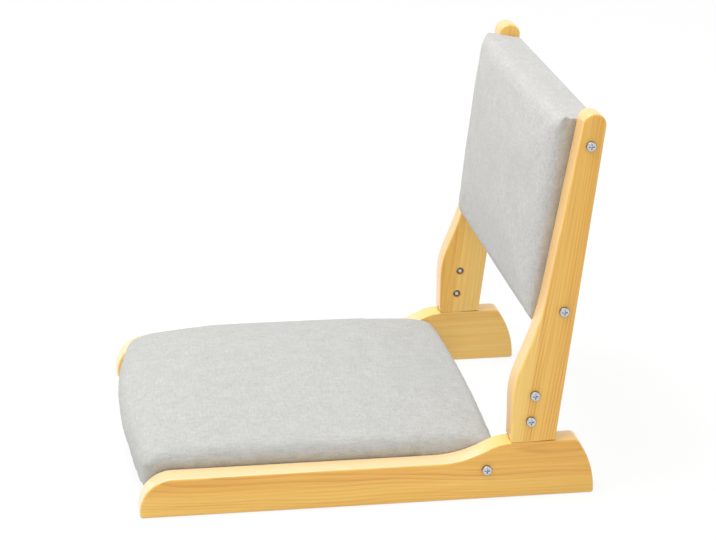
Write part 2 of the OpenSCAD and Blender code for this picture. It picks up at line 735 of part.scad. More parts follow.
pad_bottom_z = -rail_t / 2 - fabric_t - frame_gap;

// Each cushion's edge height, corner radius in plan, corner drop, and front and rear bows
seat_shape = [seat_edge_h, seat_corner_r, seat_corner_drop, [front_bow, rear_bow]];
back_shape = [back_edge_h, back_corner_r, back_corner_drop, [0, 0]];

// Form of a cushion's cover when shrink is 0, or of what it holds when shrink is its thickness
module pad_form(frame_d, wrap_d, shape, shrink) {
    half_d = (frame_d + wrap_d) / 2 + fabric_t + frame_gap;
    translate([0, -wrap_d / 2, 0]) cushion(panel_half_w - shrink, half_d - shrink,
        pad_bottom_z + shrink, shape[0] - shrink, shape[3], shape[1], shape[2], shrink);
}

module pad_cover(frame_d, wrap_d, shape, bolt_ys) {
    open_half_w = panel_half_w - hem_w;
    open_half_d = frame_d / 2 - hem_w;
    color(cloth) difference() {
        pad_form(frame_d, wrap_d, shape, 0);
        pad_form(frame_d, wrap_d, shape, fabric_t);
        translate([-open_half_w, -open_half_d, pad_bottom_z - cut_over])
            cube([2 * open_half_w, 2 * open_half_d, cut_over + fabric_t + frame_gap]);
        both_sides() for (y = bolt_ys) {
            panel_bar(panel_half_w - hem_w / 2, panel_half_w + cut_over, y, bolt_d + 2 * cover_hole_clear);
        }
    }
}

module pad_foam(frame_d, wrap_d, shape) {
    frame_top = rail_t / 2 + deck_t + 2 * fit_gap;
    color(foam_cream) difference() {
        pad_form(frame_d, wrap_d, shape, fabric_t + fit_gap);
        translate([-panel_half_w, -frame_d / 2 - fit_gap, -rail_t])
            cube([2 * panel_half_w, frame_d + 2 * panel_half_w, rail_t + frame_top]);
    }
}

module backing(frame_d) {
    half_w = panel_half_w - backing_in;
    half_d = frame_d / 2 - backing_in;
    color(felt_black) translate([-half_w, -half_d, pad_bottom_z - fit_gap - backing_t])
        cube([2 * half_w, 2 * half_d, backing_t]);
}

seat_bolt_y = seat_bolt[0] - seat_mid_y;
back_bolt_ys = [-back_bolt_pitch / 2, back_bolt_pitch / 2];
insert_tip_x = frame_half_w - insert_len;

module seat_side_rail() {
    difference() {
        seat_place() side_rail(seat_frame_d, [seat_bolt_y]);
        along_x(seat_dowel, inner_x - dowel_len / 2 - fit_gap, inner_x, dowel_d + 2 * bolt_clear);
    }
}

module seat_cover() {
    difference() {
        seat_place() pad_cover(seat_frame_d, foam_wrap, seat_shape, [seat_bolt_y]);
        both_sides() along_x(seat_dowel, inner_x - dowel_len / 2, inner_x, dowel_d + 2 * cover_hole_clear);
    }
}

module seat_foam() {
    seat_place() pad_foam(seat_frame_d, foam_wrap, seat_shape);
}

module seat_bolts() {
    color(zinc) both_sides() pan_bolt(seat_bolt, insert_tip_x);
}

module seat_front_dowels() {
    half = dowel_len / 2;
    color(raw_wood) both_sides() along_x(seat_dowel, inner_x - half, inner_x + half, dowel_d);
}

module back_side_rail() {
    back_place() side_rail(back_frame_d, back_bolt_ys);
}

module back_cover() {
    back_place() pad_cover(back_frame_d, 0, back_shape, back_bolt_ys);
}

module back_bolts() {
    color(zinc) both_sides() for (place = [back_low, back_high]) pan_bolt(place, insert_tip_x);
}

runner();  // runner_left
mirror([1, 0, 0]) runner();  // runner_right
upright();  // upright_left
mirror([1, 0, 0]) upright();  // upright_right
hinge_strap();  // hinge_strap_left
mirror([1, 0, 0]) hinge_strap();  // hinge_strap_right
hinge_bracket();  // hinge_bracket_left
mirror([1, 0, 0]) hinge_bracket();  // hinge_bracket_right
hinge_pin();  // hinge_pin_left
mirror([1, 0, 0]) hinge_pin();  // hinge_pin_right
hinge_bolts();
hinge_sleeve_nuts();
bracket_screws();
seat_side_rail();  // seat_side_rail_left
mirror([1, 0, 0]) seat_side_rail();  // seat_side_rail_right
seat_place() cross_rail(seat_frame_d, -1);  // seat_front_rail
seat_place() cross_rail(seat_frame_d, 1);  // seat_rear_rail
seat_place() frame_dowels(seat_frame_d);  // seat_frame_dowels
seat_place() deck(seat_frame_d);  // seat_deck
seat_foam();
seat_cover();
seat_place() backing(seat_frame_d);  // seat_dust_cover
seat_bolts();
seat_place() insert_nuts([seat_bolt_y]);  // seat_bolt_inserts
seat_front_dowels();
back_side_rail();  // back_side_rail_left
mirror([1, 0, 0]) back_side_rail();  // back_side_rail_right
back_place() cross_rail(back_frame_d, 1);  // back_top_rail
back_place() cross_rail(back_frame_d, -1);  // back_bottom_rail
back_place() frame_dowels(back_frame_d);  // back_frame_dowels
back_place() deck(back_frame_d);  // back_deck
back_place() pad_foam(back_frame_d, 0, back_shape);  // back_foam
back_cover();
back_place() backing(back_frame_d);  // back_rear_cloth
back_bolts();
back_place() insert_nuts(back_bolt_ys);  // back_bolt_inserts
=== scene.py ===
"""Dresses the folding floor chair's parts: materials, cushions, light and camera."""
import bpy
import bmesh
import math
import numpy as np
from mathutils import Matrix, Vector


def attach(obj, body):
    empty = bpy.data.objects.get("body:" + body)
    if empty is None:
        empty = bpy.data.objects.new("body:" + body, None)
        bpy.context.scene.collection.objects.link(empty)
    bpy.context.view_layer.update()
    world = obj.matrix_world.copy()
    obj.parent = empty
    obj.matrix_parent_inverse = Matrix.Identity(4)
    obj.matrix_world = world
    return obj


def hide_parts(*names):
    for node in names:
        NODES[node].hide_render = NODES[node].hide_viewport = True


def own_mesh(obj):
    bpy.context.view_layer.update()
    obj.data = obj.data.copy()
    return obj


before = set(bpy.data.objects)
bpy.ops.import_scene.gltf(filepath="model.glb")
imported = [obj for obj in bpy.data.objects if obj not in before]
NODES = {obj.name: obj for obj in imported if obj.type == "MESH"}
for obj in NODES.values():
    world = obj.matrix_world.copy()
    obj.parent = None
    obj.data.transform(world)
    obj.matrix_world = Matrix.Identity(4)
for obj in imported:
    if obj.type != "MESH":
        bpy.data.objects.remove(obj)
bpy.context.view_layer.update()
MM = 0.001

# Sizes repeated from part.scad, in millimetres
HEEL_Y = 246.25
FOOT_REAR_Y = HEEL_Y - 43.4
HUMP_H = 62.5
LEAN = math.radians(7.14)
QUARTER = math.radians(90)
PANEL_HALF_W = 191.7
FABRIC_T = 1.2
FOAM_WRAP = 4.0
CROWN_H = 6.0
SEAT_BOWS = (21.5, 3.5)
SEAT_BOLT_SETBACK = 117
SEAT_BOLT_IN = 14
SEAT_MID_H = 33.4
SEAT_REAR_Y = HEEL_Y - SEAT_BOLT_SETBACK + SEAT_BOLT_IN
SEAT_FRONT_Y = -HEEL_Y + SEAT_BOWS[0] + FABRIC_T + FOAM_WRAP + 0.2
SEAT_MID_Y = (SEAT_REAR_Y + SEAT_FRONT_Y) / 2
SEAT_D = SEAT_REAR_Y - SEAT_FRONT_Y
BACK_BOLT_IN = 13.2
BACK_BOLT_LOW = 144
BACK_BOLT_PITCH = 179
BACK_BOLT_END = 19.5
BACK_D = BACK_BOLT_PITCH + 2 * BACK_BOLT_END

# Sizes of the dressed cushions, in millimetres and in the pad's own axes
PAD_UNDERSIDE = -11.4  # the CAD cover's underside
COVER_OUT = 1.4  # how far the cover's outside is from the foam
PAD_ROLL = 3.0  # radius under the lower edge
BOW_LOW, BOW_RISE = 0.7, 0.3  # share of the bows at the lower edge, and what is added higher up
FIRST_CUT = 2.0  # how much lower the form starts, before it is filled
VOXEL = 0.004  # metres
SWELL = 2.2  # how far the cover bulges over the wood beside it
HELD_BELOW = 18.0  # the simulation moves nothing lower than this, and all of it 16 higher
SWELL_CAP = 5.0  # the most that it moves any
CORNER_FILL = 4.5  # how far the back's corners are filled out again
TUCK_DEPTH, TUCK_RADIUS, TUCK_FINE = 4.4, 4.0, 10.0
# where the back cover's upper corners are tucked in
TUCKS = ((190.5, 109.5, 20.0), (-190.5, 109.5, 20.0))


def on_back(ahead, up):
    """Y and Z of a point of the raised back, from the foot's rear lower corner."""
    return (FOOT_REAR_Y - ahead * math.cos(LEAN) + up * math.sin(LEAN),
            HUMP_H + ahead * math.sin(LEAN) + up * math.cos(LEAN))


BACK_MID = on_back(BACK_BOLT_IN, BACK_BOLT_LOW + BACK_BOLT_PITCH / 2)


# ---------------------------------------------------------------- node helpers
class Nodes:
    """A new material and short ways to add nodes to it."""

    def __init__(self, name):
        self.mat = bpy.data.materials.new(name)
        self.mat.use_nodes = True
        self.nt = self.mat.node_tree
        self.nt.nodes.clear()
        self.out = self.nt.nodes.new("ShaderNodeOutputMaterial")

    def add(self, kind, **inputs):
        node = self.nt.nodes.new("ShaderNode" + kind)
        for k, v in inputs.items():
            self.feed(node, k.replace("_", " "), v)
        return node

    def feed(self, node, key, value):
        """Links or sets an input. key is its name or, after #, its number."""
        sock = node.inputs[int(key[1:])] if key[0] == "#" else node.inputs[key]
        if isinstance(value, bpy.types.NodeSocket):
            self.nt.links.new(value, sock)
        else:
            sock.default_value = value

    def math(self, op, a, b=0.0):
        node = self.nt.nodes.new("ShaderNodeMath")
        node.operation = op
        self.feed(node, "#0", a)
        self.feed(node, "#1", b)
        return node.outputs[0]

    def vmath(self, op, a, b):
        node = self.nt.nodes.new("ShaderNodeVectorMath")
        node.operation = op
        self.feed(node, "#0", a)
        self.feed(node, "#1", b)
        return node.outputs[0]

    def mix(self, fac, a, b, blend="MIX"):
        node = self.nt.nodes.new("ShaderNodeMix")
        node.data_type = "RGBA"
        node.blend_type = blend
        self.feed(node, "#0", fac)
        self.feed(node, "#6", a)
        self.feed(node, "#7", b)
        return node.outputs[2]

    def ramp(self, fac, stops):
        node = self.nt.nodes.new("ShaderNodeValToRGB")
        el = node.color_ramp.elements
        while len(el) > 1:
            el.remove(el[-1])
        el[0].position, el[0].color = stops[0][0], rgba(stops[0][1])
        for pos, col in stops[1:]:
            e = el.new(pos)
            e.color = rgba(col)
        self.feed(node, "#0", fac)
        return node.outputs[0]

    def noise(self, vector, scale, detail, rough):
        node = self.nt.nodes.new("ShaderNodeTexNoise")
        self.feed(node, "Vector", vector)
        node.inputs["Scale"].default_value = scale
        node.inputs["Detail"].default_value = detail
        node.inputs["Roughness"].default_value = rough
        return node.outputs["Fac"]

    def scaled(self, vector, scale):
        return self.vmath("MULTIPLY", vector, scale)

    def bump(self, height, strength, distance):
        node = self.nt.nodes.new("ShaderNodeBump")
        node.inputs["Strength"].default_value = strength
        node.inputs["Distance"].default_value = distance
        self.feed(node, "Height", height)
        return node.outputs[0]

    def facing_side(self):
        """How far the surface faces left or right: 1 on the boards' faces, 0 on their edges."""
        normal = self.add("NewGeometry").outputs["Normal"]
        return self.math("ABSOLUTE", self.add("SeparateXYZ", Vector=normal).outputs[0])

    def finish(self, **inputs):
        bsdf = self.add("BsdfPrincipled", **inputs)
        self.nt.links.new(bsdf.outputs[0], self.out.inputs[0])
        return self.mat


def rgba(c):
    if isinstance(c, (int, float)):
        return (c, c, c, 1.0)
    return tuple(c) if len(c) == 4 else (*c, 1.0)


def srgb(r, g, b):
    def lin(v):
        v /= 255
        return v / 12.92 if v <= 0.04045 else ((v + 0.055) / 1.055) ** 2.4
    return (lin(r), lin(g), lin(b), 1.0)


# ---------------------------------------------------------------- materials
def pine(name, angle, seed, pith, spacing, tones, edges, other=None, split=0.0, soft=0.0006,
         raised=None):
    """Pine whose grain runs along the direction that angle turns onto Z, about X.

    tones is (light, mid, dark, line strength). Past split, across the board, other takes over,
    over twice soft. The boards' edges, the tops and fronts, carry a painted highlight and sheen:
    they are painted paler and plainer than the faces, as the light falls on them: edges is (light,
    mid, dark), and raised takes its place above the low part of a runner.
    """
    n = Nodes(name)
    coord = n.add("TexCoord").outputs["Object"]
    turned = n.add("Mapping", Vector=coord, Rotation=(angle, 0, 0)).outputs[0]
    seeded = n.vmath("ADD", turned, (seed * 0.37, seed * 0.61, seed * 0.23))
    sep = n.add("SeparateXYZ", Vector=turned)
    # growth rings round a far axis that leans a little, carried off straight by slow waves
    run = sep.outputs[2]
    x = n.math("ADD", sep.outputs[0], n.math("ADD", n.math("MULTIPLY", run, 0.022), pith[0]))
    y = n.math("ADD", sep.outputs[1], n.math("ADD", n.math("MULTIPLY", run, -0.015), pith[1]))
    radius = n.math("SQRT", n.math("ADD", n.math("MULTIPLY", x, x), n.math("MULTIPLY", y, y)))
    slow = n.noise(n.scaled(seeded, (8, 8, 2.4)), 1.0, 2.0, 0.5)
    small = n.noise(n.scaled(seeded, (45, 45, 6.0)), 1.0, 2.0, 0.5)
    shift = n.math("ADD", n.math("MULTIPLY", n.math("SUBTRACT", slow, 0.5), 0.026),
                   n.math("MULTIPLY", n.math("SUBTRACT", small, 0.5), 0.0022))
    ring = n.math("FRACT", n.math("DIVIDE", n.math("ADD", radius, shift), spacing))
    line = n.ramp(ring, [(0.0, 0.0), (0.42, 0.06), (0.74, 0.5), (0.88, 1.0), (0.95, 0.35),
                         (1.0, 0.0)])
    vary = n.noise(n.scaled(seeded, (70, 70, 3.5)), 1.0, 2.0, 0.5)
    line = n.math("MULTIPLY", line, n.ramp(vary, [(0.35, 0.1), (0.68, 1.0)]))
    fibre = n.noise(n.scaled(seeded, (1500, 1500, 30)), 1.0, 3.0, 0.6)
    streak = n.noise(n.scaled(seeded, (420, 420, 8)), 1.0, 3.0, 0.6)
    broad = n.noise(n.scaled(seeded, (46, 46, 2.6)), 1.0, 2.0, 0.5)
    broad = n.ramp(broad, [(0.32, 0.0), (0.68, 1.0)])
    light, mid, dark, strength = tones
    base, deep, power = n.mix(broad, light, mid), dark, strength
    if other is not None:
        past = n.math("MULTIPLY", n.math("SUBTRACT", sep.outputs[1], split), 0.5 / soft)
        where = n.ramp(n.math("ADD", past, 0.5), [(0.0, 0.0), (1.0, 1.0)])
        base = n.mix(where, base, n.mix(broad, other[0], other[1]))
        deep = n.mix(where, dark, other[2])
        power = n.math("ADD", strength, n.math("MULTIPLY", where, other[3] - strength))
    # painted highlight: where the boards turn from the side, on tops and fronts, the paler edge
    # colours take over
    edge = n.ramp(n.facing_side(), [(0.3, 1.0), (0.8, 0.0)])
    painted_rim = n.mix(broad, edges[0], edges[1])
    if raised is not None:
        # the block's top, from 50 to 60 mm up, takes raised in place of the painted highlight
        up = n.math("MULTIPLY", n.add("SeparateXYZ", Vector=coord).outputs[2], 10.0)
        high = n.ramp(up, [(0.5, 0.0), (0.6, 1.0)])
        painted_rim = n.mix(high, painted_rim, raised)
    base = n.mix(edge, base, painted_rim)
    deep = n.mix(edge, deep, edges[2])
    col = n.mix(n.math("MULTIPLY", line, power), base, deep)
    col = n.mix(n.math("MULTIPLY", n.ramp(streak, [(0.42, 0.0), (0.78, 0.55)]), power), col, deep)
    col = n.mix(n.ramp(fibre, [(0.4, 0.0), (0.85, 0.16)]), col, deep)
    height = n.math("ADD", n.math("MULTIPLY", line, -0.3), n.math("MULTIPLY", fibre, 0.5))
    rough = n.math("ADD", n.math("MULTIPLY", fibre, 0.1), 0.3)
    return n.finish(Base_Color=col, Roughness=rough, Normal=n.bump(height, 0.2, 0.0001),
                    Coat_Weight=0.7, Coat_Roughness=0.22, Coat_IOR=1.5)


def raw_wood(name, angle, seed, light, dark):
    """Unfinished wood of the hidden frames and decks."""
    n = Nodes(name)
    coord = n.add("TexCoord").outputs["Object"]
    turned = n.add("Mapping", Vector=coord, Rotation=angle).outputs[0]
    seeded = n.vmath("ADD", turned, (seed, seed * 0.7, seed * 0.3))
    ring = n.noise(n.scaled(seeded, (140, 140, 6)), 1.0, 3.0, 0.6)
    fibre = n.noise(n.scaled(seeded, (1200, 1200, 30)), 1.0, 2.0, 0.6)
    col = n.mix(n.ramp(ring, [(0.35, 0.0), (0.7, 1.0)]), light, dark)
    col = n.mix(n.math("MULTIPLY", fibre, 0.3), col, dark, "MULTIPLY")
    return n.finish(Base_Color=col, Roughness=0.75, Normal=n.bump(fibre, 0.4, 0.0002))


def woven(name, base, dark, light, seed):
    """Plain-woven melange cloth: fine crossed threads, slubs both ways and soft mottling."""
    n = Nodes(name)
    coord = n.add("TexCoord").outputs["Object"]
    at = n.vmath("ADD", coord, (seed, seed * 0.5, seed * 0.3))
    slub_x = n.noise(n.scaled(at, (95, 620, 620)), 1.0, 3.0, 0.6)
    slub_y = n.noise(n.scaled(at, (620, 95, 160)), 1.0, 3.0, 0.6)
    mottle = n.noise(at, 42.0, 3.0, 0.6)
    fleck = n.noise(at, 900.0, 2.0, 0.6)
    col = n.mix(n.ramp(slub_x, [(0.34, 0.0), (0.5, 0.5), (0.68, 1.0)]), dark, light)
    col_y = n.mix(n.ramp(slub_y, [(0.34, 0.0), (0.5, 0.5), (0.68, 1.0)]), dark, light)
    col = n.mix(0.5, col, col_y)
    col = n.mix(0.5, base, col)
    col = n.mix(n.ramp(mottle, [(0.3, 0.0), (0.7, 0.16)]), col, dark)
    col = n.mix(n.ramp(fleck, [(0.4, 0.0), (0.75, 0.3)]), col, dark)
    sep = n.add("SeparateXYZ", Vector=coord)
    weave = 0.00105  # metres from thread to thread
    k = 2 * math.pi / (weave * 2)
    sx = n.math("SINE", n.math("MULTIPLY", sep.outputs[0], k))
    sy = n.math("SINE", n.math("MULTIPLY", sep.outputs[1], k))
    sz = n.math("SINE", n.math("MULTIPLY", sep.outputs[2], k))
    threads = n.math("ADD", n.math("MULTIPLY", sx, sy),
                     n.math("ADD", n.math("MULTIPLY", sy, sz), n.math("MULTIPLY", sz, sx)))
    height = n.math("ADD", n.math("MULTIPLY", threads, 0.35),
                    n.math("ADD", slub_x, n.math("ADD", slub_y, fleck)))
    return n.finish(Base_Color=col, Roughness=0.92, Normal=n.bump(height, 0.45, 0.00025),
                    Sheen_Weight=0.12, Sheen_Roughness=0.6, Specular_IOR_Level=0.2)


def zinc(name, tone, turned, shade):
    """Plated steel with painted shade: darker by shade where it turns from the side, at the rims of
    heads and nuts.
    """
    n = Nodes(name)
    coord = n.add("TexCoord").outputs["Object"]
    cloud = n.noise(coord, 700.0, 3.0, 0.6)
    grime = n.noise(coord, 260.0, 2.0, 0.5)
    col = n.mix(n.ramp(cloud, [(0.3, 0.0), (0.7, 1.0)]), tone, rgba([c * 0.78 for c in tone[:3]]))
    # painted shade at the rims, where heads and nuts turn from the side
    painted_rim = n.ramp(n.facing_side(), [(turned[0], 1.0), (turned[1], 0.0)])
    col = n.mix(painted_rim, col, rgba([c * shade for c in tone[:3]]))
    rough = n.math("ADD", n.math("MULTIPLY", grime, 0.25), 0.2)
    return n.finish(Base_Color=col, Metallic=1.0, Roughness=rough,
                    Normal=n.bump(cloud, 0.15, 0.0001))


def felt(name, tone):
    """Thin non-woven cloth with a grid of pressed dots."""
    n = Nodes(name)
    coord = n.add("TexCoord").outputs["Object"]
    fuzz = n.noise(coord, 1500.0, 3.0, 0.7)
    dots = n.add("TexVoronoi", Vector=coord, Scale=420.0).outputs["Distance"]
    col = n.mix(n.ramp(fuzz, [(0.3, 0.0), (0.7, 1.0)]), tone, rgba([c * 1.9 for c in tone[:3]]))
    height = n.math("ADD", fuzz, n.math("MULTIPLY", dots, -1.0))
    return n.finish(Base_Color=col, Roughness=0.95, Normal=n.bump(height, 0.5, 0.0003))


# Wood tones: light, mid, dark and, for faces, the strength of the ring lines
YELLOW = (srgb(254, 214, 116), srgb(251, 205, 99), srgb(218, 152, 50), 0.4)
HONEY = (srgb(252, 208, 104), srgb(248, 197, 86), srgb(208, 136, 34), 0.55)
AMBER = (srgb(249, 194, 86), srgb(239, 179, 66), srgb(202, 124, 28), 0.7)
LIGHT = (srgb(255, 214, 118), srgb(254, 204, 98), srgb(218, 146, 48), 0.5)
WARM = (srgb(252, 202, 95), srgb(244, 188, 74), srgb(208, 132, 34), 0.7)
# Painted highlight and sheen for the boards' tops and fronts, runners then uprights: light, mid,
# dark
PALE_HIGHLIGHT = (srgb(250, 226, 178), srgb(247, 217, 160), srgb(230, 188, 120))
PEACH_HIGHLIGHT = (srgb(251, 208, 134), srgb(247, 198, 120), srgb(224, 168, 90))
BLOCK_TOP = srgb(255, 210, 104)
RUNNER_L = pine("pine_runner_left", QUARTER, 1.0, (-0.275, 0.055), 0.0024, AMBER, PALE_HIGHLIGHT,
                other=HONEY, split=-0.024, soft=0.006, raised=BLOCK_TOP)
# the far runner: painted a lighter tone, to make up for the shade on its seen face
RUNNER_R = pine("pine_runner_right", QUARTER, 2.3, (0.24, 0.05), 0.0027, LIGHT, PALE_HIGHLIGHT,
                raised=BLOCK_TOP)
UPRIGHT_L = pine("pine_upright_left", LEAN, 3.1, (-0.27, -0.11), 0.0026, YELLOW, PEACH_HIGHLIGHT,
                 other=WARM, split=0.1585)
UPRIGHT_R = pine("pine_upright_right", LEAN, 4.7, (0.26, -0.12), 0.0030, WARM, PEACH_HIGHLIGHT,
                 other=LIGHT, split=0.1619)
RAIL_TONES = (srgb(224, 198, 152), srgb(192, 158, 110))
RAIL_X = raw_wood("frame_wood_across", (0, QUARTER, 0), 0.3,
                  srgb(222, 196, 150), srgb(190, 156, 108))
RAIL_Y = raw_wood("frame_wood_along", (QUARTER, 0, 0), 1.7, *RAIL_TONES)
RAIL_UP = raw_wood("frame_wood_up", (LEAN, 0, 0), 2.9, *RAIL_TONES)
PLY = raw_wood("plywood_face", (QUARTER, 0, 0), 4.1, srgb(214, 184, 134), srgb(184, 150, 104))
CLOTH_SEAT = woven("cloth_seat", srgb(193, 193, 190), srgb(156, 156, 152), srgb(214, 215, 213),
                   seed=0.0)
# the back's cloth is the seat's cloth painted a little lighter, to make up for the shade on the
# back
CLOTH_BACK = woven("cloth_back", srgb(197, 196, 193), srgb(159, 158, 155), srgb(217, 217, 215),
                   seed=3.3)
# bolts with a painted shade rim; sleeve nuts with a strong painted dark ring of shade round a
# bright centre
ZINC = zinc("zinc_plate", (0.66, 0.69, 0.73, 1.0), (0.4, 0.93), 0.36)
ZINC_NUT = zinc("zinc_nut", (0.66, 0.66, 0.68, 1.0), (0.86, 0.999), 0.14)
# the hinge parts: zinc painted a warm light tone near the wood's, to lift the shade of the gap they
# sit in
ZINC_HINGE = zinc("zinc_hinge", (0.82, 0.74, 0.58, 1.0), (0.0, 0.1), 0.9)
FELT = felt("backing_felt", (0.018, 0.018, 0.02, 1.0))

BY_NODE = {
    "runner_left": RUNNER_L, "runner_right": RUNNER_R,
    "upright_left": UPRIGHT_L, "upright_right": UPRIGHT_R,
    "seat_side_rail_left": RAIL_Y, "seat_side_rail_right": RAIL_Y,
    "back_side_rail_left": RAIL_UP, "back_side_rail_right": RAIL_UP,
    "seat_deck": PLY, "back_deck": PLY,
    "seat_dust_cover": FELT, "back_rear_cloth": CLOTH_BACK, "hinge_sleeve_nuts": ZINC_NUT,
}
for name in ("seat_front_rail", "seat_rear_rail", "seat_frame_dowels", "seat_front_dowels",
             "back_top_rail", "back_bottom_rail", "back_frame_dowels"):
    BY_NODE[name] = RAIL_X
for name in ("hinge_strap", "hinge_bracket", "hinge_pin"):
    BY_NODE[name + "_left"] = BY_NODE[name + "_right"] = ZINC_HINGE
for name, obj in NODES.items():
    obj.data.materials.clear()
    obj.data.materials.append(BY_NODE.get(name, ZINC))


def even_shading():
    """A node group that joins split corners and shades smooth, but for edges over 35 degrees."""
    g = bpy.data.node_groups.new("even_shading", "GeometryNodeTree")
    g.interface.new_socket("Geometry", in_out="INPUT", socket_type="NodeSocketGeometry")
    g.interface.new_socket("Geometry", in_out="OUTPUT", socket_type="NodeSocketGeometry")
    src = g.nodes.new("NodeGroupInput")
    dst = g.nodes.new("NodeGroupOutput")
    weld = g.nodes.new("GeometryNodeMergeByDistance")
    weld.inputs["Distance"].default_value = 0.00001
    shade = g.nodes.new("GeometryNodeSetShadeSmooth")
    angle = g.nodes.new("GeometryNodeInputMeshEdgeAngle")
    over = g.nodes.new("FunctionNodeCompare")
    over.data_type = "FLOAT"
    over.operation = "GREATER_THAN"
    over.inputs[1].default_value = math.radians(35)
    normal = g.nodes.new("GeometryNodeSetMeshNormal")
    normal.mode = "SHARPNESS"
    g.links.new(src.outputs[0], weld.inputs[0])
    g.links.new(weld.outputs[0], shade.inputs[0])
    g.links.new(shade.outputs[0], normal.inputs["Mesh"])
    g.links.new(angle.outputs[0], over.inputs[0])
    g.links.new(over.outputs[0], normal.inputs["Edge Sharpness"])
    g.links.new(normal.outputs[0], dst.inputs[0])
    return g


EVEN = even_shading()
for name in ("runner_left", "runner_right", "upright_left", "upright_right"):
    mod = NODES[name].modifiers.new("even", "NODES")
    mod.node_group = EVEN
    mod = NODES[name].modifiers.new("weighted", "WEIGHTED_NORMAL")
    mod.mode = "FACE_AREA"
    mod.weight = 90
    mod.keep_sharp = True


# ---------------------------------------------------------------- cushions
def ring(a, b, r):
    """Points of a rectangle with rounded corners, anticlockwise from its right side."""
    arc, side = 10, 24  # steps round a corner and along a side
    pts = []
    for q in range(4):
        sx = 1 if q in (0, 3) else -1
        sy = 1 if q < 2 else -1
        cx, cy = sx * (a - r), sy * (b - r)
        for j in range(arc + 1):
            t = QUARTER * (q + j / arc)
            pts.append((cx + r * math.cos(t), cy + r * math.sin(t)))
        nq = (q + 1) % 4
        nx = (1 if nq in (0, 3) else -1) * (a - r)
        ny = (1 if nq < 2 else -1) * (b - r)
        t = QUARTER * (q + 1)
        p0, p1 = pts[-1], (nx + r * math.cos(t), ny + r * math.sin(t))
        for e in range(1, side):
            f = e / side
            pts.append((p0[0] + (p1[0] - p0[0]) * f, p0[1] + (p1[1] - p0[1]) * f))
    return np.array(pts)


def pad_form(a, b, z0, z1, r, roll, corner, growth, crown, bows, drop):
    """Closed cushion form in millimetres, in the panel's own axes: the CAD form with finer rings.

    a and b are half its width and depth, r is the shoulder's radius and roll the lower edge's.
    corner is the radius seen from above, and grows by growth for each millimetre in from the wall.
    """
    rows = []

    def dressed(inset, shrink, rad, z, share, dr):
        p = ring(a - inset, b - inset, rad) * shrink
        front, rear = np.maximum(0, -p[:, 1] / b), np.maximum(0, p[:, 1] / b)
        cor = (np.minimum(1, abs(p[:, 0]) / a) * np.minimum(1, abs(p[:, 1]) / b)) ** 3
        y = p[:, 1] + (bows[1] * rear - bows[0] * front) * share * (1 - (p[:, 0] / a) ** 2)
        rows.append(np.stack([p[:, 0], y, z - dr * cor], 1))

    spring = z1 - r
    for k in range(3):
        t = math.radians(90 * k / 3)
        inset = roll * (1 - math.sin(t))
        dressed(inset, 1, corner - inset * 0.9, z0 + roll * (1 - math.cos(t)), BOW_LOW, 0)
    for f in (0.2, 0.4, 0.6, 0.8):
        z = z0 + roll + (spring - z0 - roll) * f
        dressed(0, 1, corner, z, BOW_LOW + BOW_RISE * min(1, f * 1.6), 0)
    for k in range(13):
        t = math.radians(86 * k / 12)
        inset = r * (1 - math.cos(t))
        dressed(inset, 1, corner + inset * growth, spring + r * math.sin(t), 1, drop * math.sin(t))
    for share in (0.95, 0.88, 0.8, 0.7, 0.6, 0.5, 0.4, 0.3, 0.2, 0.1):
        dressed(r, share, corner + r * growth, z1 + crown * (1 - share * share), 1, drop)
    n = len(rows[0])
    verts = [tuple(p) for row in rows for p in row] + [(0, 0, z0), (0, 0, z1 + crown)]
    faces = []
    for k in range(len(rows) - 1):
        p, q = k * n, (k + 1) * n
        for i in range(n):
            j = (i + 1) % n
            faces.append((p + i, p + j, q + j, q + i))
    low, high, top = len(verts) - 2, len(verts) - 1, (len(rows) - 1) * n
    for i in range(n):
        j = (i + 1) % n
        faces.append((j, i, low))
        faces.append((top + i, top + j, high))
    return verts, faces


def mesh_object(name, verts, faces):
    me = bpy.data.meshes.new(name)
    me.from_pydata([tuple(c * MM for c in v) for v in verts], [], faces)
    me.update()
    ob = bpy.data.objects.new(name, me)
    bpy.context.scene.collection.objects.link(ob)
    return ob


def apply_modifiers(ob):
    dg = bpy.context.evaluated_depsgraph_get()
    me = bpy.data.meshes.new_from_object(ob.evaluated_get(dg))
    ob.modifiers.clear()
    old = ob.data
    ob.data = me
    bpy.data.meshes.remove(old)


def coords(me):
    co = np.zeros(len(me.vertices) * 3)
    me.vertices.foreach_get("co", co)
    return co.reshape(-1, 3)


def set_coords(me, co):
    me.vertices.foreach_set("co", co.reshape(-1))
    me.update()


def smooth_noise(p, seed, scale):
    """Sum of a few seeded sine waves: a smooth, repeatable noise of about unit size."""
    rng = np.random.RandomState(seed)
    out = np.zeros(len(p))
    for _ in range(9):
        d = rng.normal(size=3)
        d /= np.linalg.norm(d)
        k = 2 * math.pi / scale * rng.uniform(0.6, 1.6)
        out += np.sin(p @ d * k + rng.uniform(0, 2 * math.pi))
    return out / 3.0


